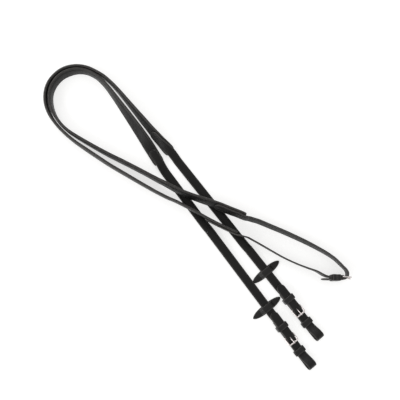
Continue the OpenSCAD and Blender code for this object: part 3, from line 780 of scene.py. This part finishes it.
mid = billet_t / 2
lower_run = [(-chape_len + 1.3 * k, z_lower + mid) for k in range(73)]
ring_mid = loop_r + mid
round_bit = [(loop_x + ring_mid * math.cos(math.radians(q)),
              loop_z + ring_mid * math.sin(math.radians(q))) for q in range(-90, 91, 9)]
down_to_run = [(x, z + mid) for x, z in
               reversed(rising(eye_x, z_run, loop_x, loop_z + loop_r, 18))]
flat_run = [(eye_x - 1.3 * k, z_run + mid) for k in range(1, 20)]
up_to_heel = [(x, z + mid) for x, z in reversed(rising(-1, z_upper, frame_len - 1.5, z_run, 14))]
tip_run = [(-1 - 1.3 * k, z_upper + mid) for k in range(1, 32)]
tip_run += [(-billet_tip + tip_r * (1 - math.cos(math.radians(q))), z_upper + mid)
            for q in (80, 70, 60, 50, 40, 31, 22, 14, 6)]
billet_path = lower_run + round_bit + down_to_run[1:] + flat_run + up_to_heel + tip_run
for rein in ("a", "b"):
    here = bit_end(rein)
    billet = side_path_strap(f"billet_{rein}_leather", billet_path, strap_w, billet_t, here,
                             far_tip=tip_r)
    cut_away(billet, oblong(1.6, 10.6, 1.6), z_lower + billet_t + 0.05, 24, here)
    billet.data.materials.clear()
    billet.data.materials.append(bridle_leather)
    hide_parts(f"billet_{rein}")
    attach(billet, "reins")

# ---------------------------------------------------------------------------
# Chapes: the short thin wraps that hold each buckle by its heel bar.
# Skived black leather 1.2 mm thick, doubled round the bar with a slot for the
# tongue, both legs sewn to the end of the strap.
# ---------------------------------------------------------------------------
# the pale edge colour here is partly rubbed wear and partly a painted highlight
thin_leather = leather(
    "skived_leather", dark=(0.0070, 0.0068, 0.0066), light=(0.0145, 0.0140, 0.0135),
    rub_and_highlight_colour=(0.100, 0.094, 0.090), gloss=0.39, grain=1000, grain_depth=0.00013, shine=0.7)
centre_place = (Matrix.Translation(Vector((*head_c, over_c + strap_w / 2)) - lay_mid)
                @ Matrix.Rotation(turn_c, 4, "Z") @ Matrix.Rotation(math.radians(90), 4, "X"))
buckles = {"a": (bit_end("a") @ Matrix.Translation((0, 0, z_heel)), chape_len),
           "b": (bit_end("b") @ Matrix.Translation((0, 0, z_heel)), chape_len),
           "centre": (centre_place, 22.0)}


def named(start, which):
    """A bit buckle's pieces end in _a or _b; the centre buckle's start with centre_."""
    return f"centre_{start}" if which == "centre" else f"buckle_{start}_{which}"


for which, (here, legs) in buckles.items():
    wrap = leg_in + thin_t / 2
    leg = [-legs + (legs * k / 20) for k in range(20)]
    path = ([(x, -wrap) for x in leg]
            + [(wrap * math.cos(math.radians(q)), wrap * math.sin(math.radians(q)))
               for q in range(-90, 91, 10)]
            + [(x, wrap) for x in reversed(leg)])
    name = "centre_chape" if which == "centre" else f"chape_{which}"
    chape = side_path_strap(f"{name}_leather", path, strap_w - 0.1, thin_t, here, crease=0.08)
    cut_away(chape, oblong(-3.2, 9.0, 2.1), -6, 6, here)
    chape.data.materials.clear()
    chape.data.materials.append(thin_leather)
    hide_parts(name)
    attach(chape, "reins")

# ---------------------------------------------------------------------------
# Keepers: leather loops that hold the billets and the free tail down.
# Thin black leather bent square round the stack, butted underneath, edges rubbed and painted paler,
# partly as a painted highlight; the runner slides along the billet and the others are sewn in.
# ---------------------------------------------------------------------------
def make_keeper(name, here, x, length, low, high, wall=1.2, cheek=1.5):
    """A square loop round a stack from low to high, inside faces."""
    half_y, half_z = keeper_w / 2 - cheek / 2, (high - low) / 2 + wall / 2
    mid_z, bend = (high + low) / 2, 1.9
    corners = [(half_y - bend, half_z - bend, 0), (-half_y + bend, half_z - bend, 90),
               (-half_y + bend, -half_z + bend, 180), (half_y - bend, -half_z + bend, 270)]
    way = []
    for cy, cz, start in corners:
        for q in range(0, 91, 15):
            w = math.radians(start + q)
            way.append((cy + bend * math.cos(w), cz + bend * math.sin(w),
                        math.cos(w), math.sin(w)))
        nxt = corners[(corners.index((cy, cz, start)) + 1) % 4]
        w = math.radians(start + 90)
        a = (cy + bend * math.cos(w), cz + bend * math.sin(w))
        b = (nxt[0] + bend * math.cos(w), nxt[1] + bend * math.sin(w))
        for s in (0.2, 0.4, 0.6, 0.8):
            way.append((a[0] + (b[0] - a[0]) * s, a[1] + (b[1] - a[1]) * s,
                        math.cos(w), math.sin(w)))
    rings, wear_and_highlight = [], []
    for y, z, ny, nz in way:
        out = Vector((0, ny, nz))
        bulge = 0.12 * (1 - (y / half_y) ** 2) if nz > 0.9 else 0.0
        thick = wall + (cheek - wall) * ny * ny
        section = strap_section(length, thick - 0.04, crease=0.1, crown=0.03)
        rings.append([here @ (Vector((x + a, y, z + mid_z)) + out * (b + bulge))
                      for a, b, _ in section])
        wear_and_highlight.append([e for _, _, e in section])
    keeper = closed_skin(f"{name}_leather", rings, wear_and_highlight, joined=True)
    keeper.data.materials.append(thin_leather)
    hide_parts(name)
    return keeper


for rein in ("a", "b"):
    here = bit_end(rein)
    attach(make_keeper(f"fixed_keeper_{rein}", here, -19.5, 9.5,
                        z_lower - lay_gap, z_upper + billet_t + lay_gap), "reins")
    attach(make_keeper(f"runner_keeper_{rein}", here, 33.0, 10.0,
                        z_lower - slide_gap, z_run + billet_t + slide_gap), f"runner_{rein}")
centre_in, tail_out = leg_in + thin_t + lay_gap, 4.5 + strap_t / 2
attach(make_keeper("centre_keeper_1", centre_place, -8.4, 7.0, -centre_in,
                    tail_out + 0.2), "reins")
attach(make_keeper("centre_keeper_2", centre_place, -16.2, 7.0, -centre_in - 0.3,
                    tail_out + 0.2), "reins")

# ---------------------------------------------------------------------------
# Buckle frames: three plain square buckles, one at each bit end, one centre.
# Nickel-plated steel wire bent to a frame, thick heel and front bars, thinner
# side bars, corners rounded, the plating polished and lightly scratched.
# ---------------------------------------------------------------------------
nickel = bpy.data.materials.new("polished_nickel")
nickel.use_nodes = True
nickel_tree = nickel.node_tree
plate = nickel_tree.nodes["Principled BSDF"]
plate.inputs["Metallic"].default_value = 1.0
nickel_where = nickel_tree.nodes.new("ShaderNodeTexCoord")
stretch = nickel_tree.nodes.new("ShaderNodeMapping")
stretch.inputs["Scale"].default_value = (1, 7, 1)
nickel_tree.links.new(nickel_where.outputs["Object"], stretch.inputs["Vector"])
scuffs = nickel_tree.nodes.new("ShaderNodeTexNoise")
scuffs.inputs["Scale"].default_value = 700
scuffs.inputs["Detail"].default_value = 6
nickel_tree.links.new(stretch.outputs["Vector"], scuffs.inputs["Vector"])
tarnish = nickel_tree.nodes.new("ShaderNodeMix")
tarnish.data_type = "RGBA"
tarnish.inputs[6].default_value = (0.62, 0.575, 0.565, 1)
tarnish.inputs[7].default_value = (0.80, 0.75, 0.74, 1)
nickel_tree.links.new(scuffs.outputs["Fac"], tarnish.inputs[0])
nickel_tree.links.new(tarnish.outputs[2], plate.inputs["Base Color"])
dull = nickel_tree.nodes.new("ShaderNodeMapRange")
dull.inputs["To Min"].default_value = 0.26
dull.inputs["To Max"].default_value = 0.42
nickel_tree.links.new(scuffs.outputs["Fac"], dull.inputs["Value"])
nickel_tree.links.new(dull.outputs["Result"], plate.inputs["Roughness"])
scratch = nickel_tree.nodes.new("ShaderNodeBump")
scratch.inputs["Strength"].default_value = 0.25
scratch.inputs["Distance"].default_value = 0.00002
nickel_tree.links.new(scuffs.outputs["Fac"], scratch.inputs["Height"])
nickel_tree.links.new(scratch.outputs["Normal"], plate.inputs["Normal"])

bar_r, side_r = 1.45, 1.15
frame_y = strap_w / 2 + 0.3 + side_r
tilt = math.radians(5)
for which, (here, _) in buckles.items():
    tilted = here @ Matrix.Rotation(-tilt, 4, "Y")
    front_bend, heel_bend = 2.6, 1.3
    way = []
    for cx, cy, bend, start in ((frame_len - front_bend, frame_y - front_bend, front_bend, 0),
                                (heel_bend, frame_y - heel_bend, heel_bend, 90),
                                (heel_bend, -frame_y + heel_bend, heel_bend, 180),
                                (frame_len - front_bend, -frame_y + front_bend, front_bend, 270)):
        way += [(cx + bend * math.cos(math.radians(start + q)),
                 cy + bend * math.sin(math.radians(start + q)), math.radians(start + q))
                for q in range(0, 91, 10)]
    full = []
    for i, (x, y, w) in enumerate(way):
        full.append((x, y, w))
        nx, ny, _ = way[(i + 1) % len(way)]
        if math.dist((x, y), (nx, ny)) > 3:
            full += [(x + (nx - x) * s, y + (ny - y) * s, w)
                     for s in (0.15, 0.35, 0.5, 0.65, 0.85)]
    rings, wear_and_highlight = [], []
    for x, y, w in full:
        out = Vector((math.cos(w), math.sin(w), 0))
        barness = abs(math.cos(w)) ** 2
        r = side_r + (bar_r - side_r) * barness
        flatten = 1 - 0.06 * (x > frame_len * 0.6)
        rings.append([tilted @ (Vector((x, y, 0)) + out * r * math.cos(q) + Vector((0, 0, 1)) * r
                                * flatten * math.sin(q))
                      for q in (math.tau * k / 18 for k in range(18))])
        wear_and_highlight.append([0.0] * 18)
    buckle = closed_skin(named("frame", which) + "_metal", rings, wear_and_highlight, joined=True)
    buckle.data.materials.append(nickel)
    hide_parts(named("frame", which))
    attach(buckle, f"frame_{which}")

# ---------------------------------------------------------------------------
# Tongues: the pin of each buckle, curled round the heel bar.
# Nickel-plated steel, a rolled eye and a tapered round pin that lies over the
# front bar through the punched hole.
# ---------------------------------------------------------------------------
bore_r = bar_r + 0.05
tongue_r = 0.9
tongue_rise = math.asin((bar_r + tongue_r + 0.05) / frame_len) + tilt
for which, (here, _) in buckles.items():
    rings, wear_and_highlight = [], []
    for k in range(32):
        w = math.tau * k / 32
        out = Vector((math.cos(w), 0, math.sin(w)))
        section = []
        for q in (math.tau * s / 14 for s in range(14)):
            c, s = math.cos(q), math.sin(q)
            section.append((1.6 * math.copysign(abs(c) ** 0.45, c),
                            0.45 * math.copysign(abs(s) ** 0.6, s)))
        rings.append([here @ (out * (bore_r + 0.45 + b) + Vector((0, a, 0))) for a, b in section])
        wear_and_highlight.append([0.0] * 14)
    eye_ring = closed_skin("rolled_eye", rings, wear_and_highlight, joined=True)
    up_pin = here @ Matrix.Rotation(-tongue_rise, 4, "Y")
    rings, wear_and_highlight = [], []
    shaft = frame_len + 1.4
    for x, r, wide in ((bore_r + 0.35, 0.85, 1.5), (2.6, 0.9, 1.35), (4.2, 0.9, 1.15),
                       (7, 0.9, 1.0), (10, 0.9, 1.0), (13, 0.88, 1.0), (shaft - 1.2, 0.85, 1.0),
                       (shaft, 0.8, 1.0), (shaft + 0.45, 0.66, 1.0), (shaft + 0.75, 0.4, 1.0),
                       (shaft + 0.88, 0.12, 1.0)):
        rings.append([up_pin @ Vector((x, r * wide * math.cos(q), r * math.sin(q)))
                      for q in (math.tau * k / 16 for k in range(16))])
        wear_and_highlight.append([0.0] * 16)
    tongue = joined(named("tongue", which) + "_metal", eye_ring, closed_skin("pin", rings, wear_and_highlight))
    tongue.data.materials.append(nickel)
    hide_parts(named("tongue", which))
    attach(tongue, f"tongue_{which}")

bpy.context.view_layer.update()
